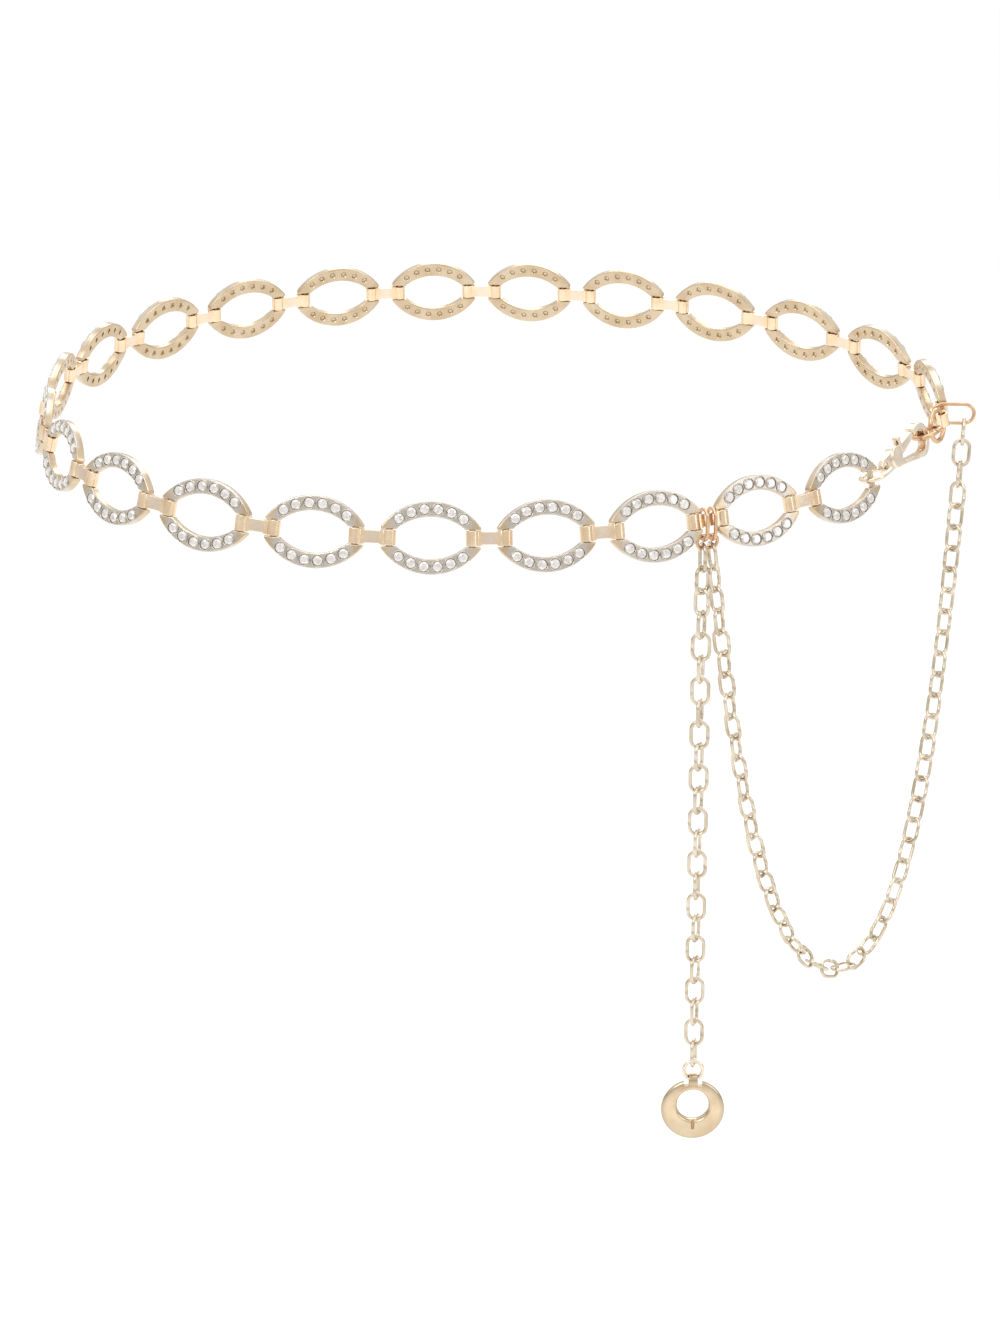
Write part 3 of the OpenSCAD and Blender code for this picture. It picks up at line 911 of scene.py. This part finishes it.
@dataclass
class SoftenedCastings:
    """Castings that keep their CAD form and get rounded edges."""

    dresser: Dresser
    bands: int = 22
    band_rounding: float = 0.18
    hook_rounding: float = 0.3
    lever_rounding: float = 0.25
    steps: int = 3
    flat_angle: float = 1.0
    edge_angle: float = 40.0

    def soften(self, node: str, rounding: float) -> Shape:
        """Rounds a node's edges.

        Args:
            node: the CAD node.
            rounding: the width of the rounding, in millimetres.

        Returns:
            The shape in metres, with its own local millimetres.
        """
        solid = Solid.of_node(node)
        place = solid.place()
        triangles = [tuple(corners) for corners in solid.triangles.tolist()]
        mesh = Shape(place.local(solid.points), triangles).mesh(node + "_soft")
        work = bmesh.new()
        work.from_mesh(mesh)
        flat = math.radians(self.flat_angle)
        bmesh.ops.dissolve_limit(work, angle_limit=flat, verts=work.verts, edges=work.edges)
        work.to_mesh(mesh)
        work.free()
        item = scratch_object(mesh)
        bevel = item.modifiers.new("soften", "BEVEL")
        bevel.width, bevel.segments, bevel.limit_method = rounding, self.steps, "ANGLE"
        bevel.angle_limit, bevel.use_clamp_overlap = math.radians(self.edge_angle), False
        return Shape.of_mesh(evaluated(item, node + "_softened")).placed(place)

    def build(self) -> None:
        """Builds the bands, the clasp's body and its lever."""
        for k in range(1, self.bands + 1):
            node = f"band_{k:02d}"
            band = self.soften(node, self.band_rounding)
            self.dresser.piece(f"joining_{node}", band, "band_gold", Body.BELT, [node])
        hook = self.soften("clasp_body", self.hook_rounding)
        self.dresser.piece("clasp_hook", hook, "clasp_gold", Body.BELT, ["clasp_body"])
        lever = self.soften("clasp_lever", self.lever_rounding)
        self.dresser.piece("clasp_thumb_lever", lever, "clasp_gold", Body.LEVER, ["clasp_lever"])
        log.info("castings: bands, clasp hook and lever")


@dataclass
class WireWork:
    """Chain links, rings and hangers of round wire, each measured on its solid."""

    dresser: Dresser
    wire_sides: int = 14
    bend_steps: int = 16
    seam_depth: float = 0.12
    seam_width: float = 0.07
    crease: float = 60.0

    def loop(self, solid: Solid) -> Shape:
        """Bends round wire into the closed loop that a solid shows.

        Args:
            solid: one ring or link.

        Returns:
            The placed loop, with a fine seam where its ends meet.
        """
        place = solid.place()
        low, high = place.extents(solid.points)
        length, width, wire = high - low
        bend_r, straight = (width - wire) / 2, max(length - width, 0.0)
        seam = ((self.seam_width, 1.0), (0.0, 1 - self.seam_depth), (-self.seam_width, 1.0))
        path: list[tuple[float, float, float, float]] = []
        for side in (1, -1):
            for a in np.linspace(-math.pi / 2, math.pi / 2, self.bend_steps + 1):
                turn = a if side > 0 else a + math.pi
                x = side * straight / 2 + bend_r * math.cos(turn)
                path.append((x, bend_r * math.sin(turn), turn, 1.0))
            if side > 0:
                path += [(offset, bend_r, math.pi / 2, swell) for offset, swell in seam]
        around = np.arange(self.wire_sides) * 2 * math.pi / self.wire_sides
        rings = []
        for x, y, turn, swell in path:
            out = swell * wire / 2 * np.cos(around)
            rings.append(np.stack([x + out * math.cos(turn), y + out * math.sin(turn),
                                   swell * wire / 2 * np.sin(around)], 1))
        return lofted(rings, looped=True).placed(place)

    def node(self, name: str, node: str, finish: str) -> None:
        """Builds every loop of a node as one piece.

        Args:
            name: the piece's name.
            node: the CAD node.
            finish: the name of its finish.
        """
        loops = [self.loop(piece) for piece in Solid.of_node(node).loose_pieces()]
        self.dresser.piece(name, Shape.joined(loops), finish, Body.BELT, [node], crease=self.crease)
        log.info("%s: %d wire loops", name, len(loops))

    def build(self) -> None:
        """Builds the side chains, the rings and the hangers."""
        for node in ("tail_chain", "drape_front", "drape_back"):
            self.node(f"{node}_links", node, "chain_gold")
        for node, finish in (("clasp_ring", "clasp_gold"), ("hook_ring", "copper_wire"),
                             ("end_ring", "copper_wire"), ("pendant_ring", "clasp_gold")):
            self.node(f"{node}_wire", node, finish)
        for node in ("hanger", "end_hanger"):
            self.node(f"{node}_loops", node, "copper_wire")


@dataclass
class RingPendant:
    """The puffed ring at the end of the tail, in millimetres."""

    dresser: Dresser
    outer_r: float = 8.75
    hole_r: float = 4.3
    hole_rise: float = 1.5
    thickness: float = 3.4
    edge: float = 1.2
    outer_rounding: float = 0.75
    inner_rounding: float = 0.95
    notch_width: float = 5.0
    notch_depth: float = 1.7
    crease_width: float = 0.9
    crease_length: float = 3.2
    crease_floor: float = 0.75
    crease_lift: float = 0.2
    crease_overrun: float = 0.5
    crease_even: float = 0.8
    crease_end: float = 0.4
    crease_top: float = 1.8
    crease_bottom: float = 0.1
    eye_width: float = 2.4
    eye_r: float = 1.9
    eye_bore_r: float = 1.0
    eye_flare: float = 0.25
    eye_drop: float = 0.1
    eye_rounding: float = 0.2
    eye_bevel: float = 0.06
    eye_sides: int = 28
    sections: int = 128
    sharp_angle: float = 34.0

    def half_thickness(self, distance: float) -> float:
        """Gives the half thickness at a distance from the plate's middle."""
        swell = (self.thickness - self.edge) / 2
        dome_r = (self.outer_r ** 2 + swell ** 2) / (2 * swell)
        return self.thickness / 2 - dome_r + math.sqrt(dome_r ** 2 - distance ** 2)

    def section(self, turn: float, steps: int = 26) -> np.ndarray:
        """Gives the rounded section at an angle round the hole.

        Args:
            turn: the angle.
            steps: the number of points on each face.

        Returns:
            The points across, upward and outward.
        """
        way = np.array([math.cos(turn), math.sin(turn)])
        start = np.array([0, self.hole_rise])
        reach = -start @ way + math.sqrt((start @ way) ** 2 + self.outer_r ** 2 - self.hole_rise ** 2)
        spread = (1 - np.cos(np.linspace(0, math.pi, steps))) / 2
        distance = self.hole_r + (reach - self.hole_r) * spread
        points = []
        for d in distance:
            flat = start + d * way
            inner = min((d - self.hole_r) / self.inner_rounding, 1.0)
            outer = min((reach - d) / self.outer_rounding, 1.0)
            height = self.half_thickness(min(float(np.linalg.norm(flat)), self.outer_r))
            height *= math.sqrt(max(1 - (1 - inner) ** 2, 0.0)) * math.sqrt(max(1 - (1 - outer) ** 2, 0.0))
            points.append((flat[0], flat[1], height))
        front, back = np.array(points), np.array(points[1:-1])[::-1] * [1, 1, -1]
        return np.vstack([front, back])

    def box(self, low: Sequence[float], high: Sequence[float]) -> Shape:
        """Gives a box between two corners."""
        corners = np.array([(low[0], low[1]), (high[0], low[1]), (high[0], high[1]), (low[0], high[1])])
        return lofted([np.hstack([corners, np.full((4, 1), z)]) for z in (low[2], high[2])])

    def crease(self) -> Shape:
        """Makes the wedge that cuts the crease under the hole.

        Returns:
            The wedge, narrower and shallower at its lower end.
        """
        low, half = self.hole_rise - self.hole_r, self.crease_width / 2
        face, length = self.thickness / 2, self.crease_length
        top = face + self.crease_lift
        rings = []
        for y, share in ((low + self.crease_overrun, 1.0), (low - self.crease_even * length, 1.0),
                         (low - length, self.crease_end)):
            floor = face - (face - self.crease_floor) * share
            wide, narrow = self.crease_top * half * share, self.crease_bottom * half * share
            rings.append(np.array([(-wide, y, top), (wide, y, top), (narrow, y, floor), (-narrow, y, floor)]))
        return lofted(rings)

    def eye(self) -> Shape:
        """Makes the small eye that stands in the notch.

        Returns:
            The eye, its bore flared to both sides.
        """
        half, soft, bevel, wide = self.eye_width / 2, self.eye_rounding, self.eye_bevel, self.eye_r
        bore = [(self.eye_bore_r + 2 * self.eye_flare * t ** 2, half * t) for t in np.linspace(1, -1, 7)]
        edge = [(wide - soft, half), (wide - bevel, half - bevel), (wide, half - soft)]
        profile = bore + [(radius, -height) for radius, height in edge] + edge[::-1]
        shape = turned(profile, self.eye_sides, looped=True)
        lying = shape.points[:, [2, 1, 0]] * [1, 1, -1]
        return Shape(lying + [0, self.outer_r - self.eye_drop, 0], shape.faces)

    def build(self) -> None:
        """Builds the pendant where its solid hangs."""
        turns = np.arange(self.sections) * 2 * math.pi / self.sections
        ring = lofted([self.section(turn) for turn in turns], looped=True)
        half, top, past = self.notch_width / 2, self.outer_r, 2 * self.thickness
        notch = self.box((-half, top - self.notch_depth, -past), (half, top + past, past))
        plate = carved(carved(ring, notch), self.crease())
        corner_low, corner_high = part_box("pendant")
        middle = np.array((corner_low + corner_high) / 2)
        middle[2] = corner_low[2] + self.outer_r * MM
        place = Place(np.array([1.0, 0, 0]), np.array([0, 0, 1.0]), np.array([0, -1.0, 0]), middle)
        whole = Shape.joined([plate, self.eye()])
        self.dresser.piece("ring_pendant", Shape(whole.points, whole.faces).placed(place), "pendant_gold",
                           Body.PENDANT, ["pendant"], crease=self.sharp_angle)
        log.info("ring pendant")


# Studio


@dataclass(frozen=True)
class Softbox:
    """A rectangular lamp that faces the loop, in metres and watts."""

    name: str
    place: tuple[float, float, float]
    size: tuple[float, float]
    power: float

    def build(self) -> None:
        """Hangs the lamp."""
        lamp = bpy.data.lights.new(self.name, "AREA")
        lamp.shape, lamp.energy = "RECTANGLE", self.power
        lamp.size, lamp.size_y = self.size
        item = bpy.data.objects.new(self.name, lamp)
        item.location = self.place
        item.rotation_euler = (-Vector(self.place)).to_track_quat("-Z", "Y").to_euler()
        bpy.context.scene.collection.objects.link(item)


@dataclass
class Studio:
    """Floor, lights and camera. The camera's values were fitted to the photograph's link openings."""

    backdrop: Backdrop = field(default_factory=Backdrop)
    eye: tuple[float, float, float] = (0.0034, -0.878, 0.174)
    pitch: float = 16.0
    focal_px: float = 3143.0
    picture_height_px: float = 1333.0
    floor_height: float = -0.6
    floor_reach: float = 40.0
    horizon: Colour = (0.6, 0.6, 0.61)
    zenith: Colour = (1.0, 1.0, 1.0)
    zenith_height: float = 0.5
    seen_tone: Colour = (0.9, 0.9, 0.9)
    sky_strength: float = 1.1
    clip: tuple[float, float] = (0.01, 50.0)
    softboxes: tuple[Softbox, ...] = (
        Softbox("key_softbox", (-0.9, -1.3, 1.2), (0.9, 0.9), 7.0),
        Softbox("fill_softbox", (1.4, -0.9, 0.7), (0.6, 1.2), 3.0),
        Softbox("back_softbox", (0.3, 1.5, 1.1), (1.4, 0.5), 6.0),
        Softbox("top_softbox", (0.0, 0.0, 1.9), (1.2, 1.2), 6.0))

    def floor(self) -> None:
        """Lays the pale floor well below the hanging tail."""
        reach = self.floor_reach
        corners = [(-reach, -reach), (reach, -reach), (reach, reach), (-reach, reach)]
        mesh = bpy.data.meshes.new("studio_floor")
        mesh.from_pydata([(x, y, self.floor_height) for x, y in corners], [], [(0, 1, 2, 3)])
        item = bpy.data.objects.new("studio_floor", mesh)
        mesh.materials.append(self.backdrop.material())
        bpy.context.scene.collection.objects.link(item)

    def sky(self) -> None:
        """Surrounds the scene with pale light, dimmer towards the horizon, that the camera sees as white."""
        world = bpy.data.worlds.new("studio_sky")
        world.use_nodes = True
        nodes, links = world.node_tree.nodes, world.node_tree.links
        split, ramp = nodes.new("ShaderNodeSeparateXYZ"), nodes.new("ShaderNodeValToRGB")
        links.new(nodes.new("ShaderNodeTexCoord").outputs["Generated"], split.inputs[0])
        links.new(split.outputs["Z"], ramp.inputs[0])
        stops = ramp.color_ramp.elements
        stops[0].position, stops[0].color = 0.0, (*self.horizon, 1)
        stops[1].position, stops[1].color = self.zenith_height, (*self.zenith, 1)
        seen = nodes.new("ShaderNodeMix")
        seen.data_type = "RGBA"
        links.new(nodes.new("ShaderNodeLightPath").outputs["Is Camera Ray"], seen.inputs[0])
        links.new(ramp.outputs[0], seen.inputs[6])
        seen.inputs[7].default_value = (*self.seen_tone, 1)
        background = nodes["Background"]
        links.new(seen.outputs[2], background.inputs["Color"])
        background.inputs["Strength"].default_value = self.sky_strength
        bpy.context.scene.world = world

    def camera(self) -> None:
        """Sets the camera at the photograph's angle."""
        lens = bpy.data.cameras.new("camera")
        lens.sensor_width = 36.0
        lens.lens = self.focal_px * lens.sensor_width / self.picture_height_px
        lens.clip_start, lens.clip_end = self.clip
        item = bpy.data.objects.new("camera", lens)
        item.location = self.eye
        item.rotation_euler = (math.radians(90 - self.pitch), 0, 0)
        bpy.context.scene.collection.objects.link(item)
        bpy.context.scene.camera = item

    def build(self) -> None:
        """Builds the whole studio."""
        self.floor()
        self.sky()
        for softbox in self.softboxes:
            softbox.build()
        self.camera()
        bpy.context.scene.view_settings.view_transform = "Standard"
        log.info("studio")


def main() -> None:
    """Builds the waist chain's looks and the studio."""
    logging.basicConfig(level=logging.INFO, format="%(name)s: %(message)s")
    dresser = Dresser([
        PlatedMetal("link_gold", Slot.PALE_GOLD, (0.65, 0.53, 0.38), (0.56, 0.43, 0.28), 0.22, RimWash()),
        # The band waists get a painted highlight in their colour.
        PlatedMetal("band_gold", Slot.PALE_GOLD, (0.90, 0.72, 0.51), (0.82, 0.61, 0.40), 0.18, WaistPaintedHighlight()),
        PlatedMetal("clasp_gold", Slot.WARM_GOLD, (0.87, 0.78, 0.64), (0.75, 0.63, 0.49), 0.17),
        PlatedMetal("chain_gold", Slot.WARM_GOLD, (0.73, 0.65, 0.53), (0.57, 0.48, 0.36), 0.18),
        # The pendant gets painted shade on its rim, round its hole and over its lower half.
        PlatedMetal("pendant_gold", Slot.WARM_GOLD, (0.78, 0.63, 0.44), (0.68, 0.51, 0.33), 0.16, RingPaintedShade()),
        PlatedMetal("copper_wire", Slot.COPPER, (0.73, 0.49, 0.31), (0.59, 0.38, 0.22), 0.2),
        FoiledCrystal(),
    ])
    OvalLinks(dresser).build()
    SoftenedCastings(dresser).build()
    WireWork(dresser).build()
    RingPendant(dresser).build()
    Studio().build()


if __name__ == "__main__":
    main()
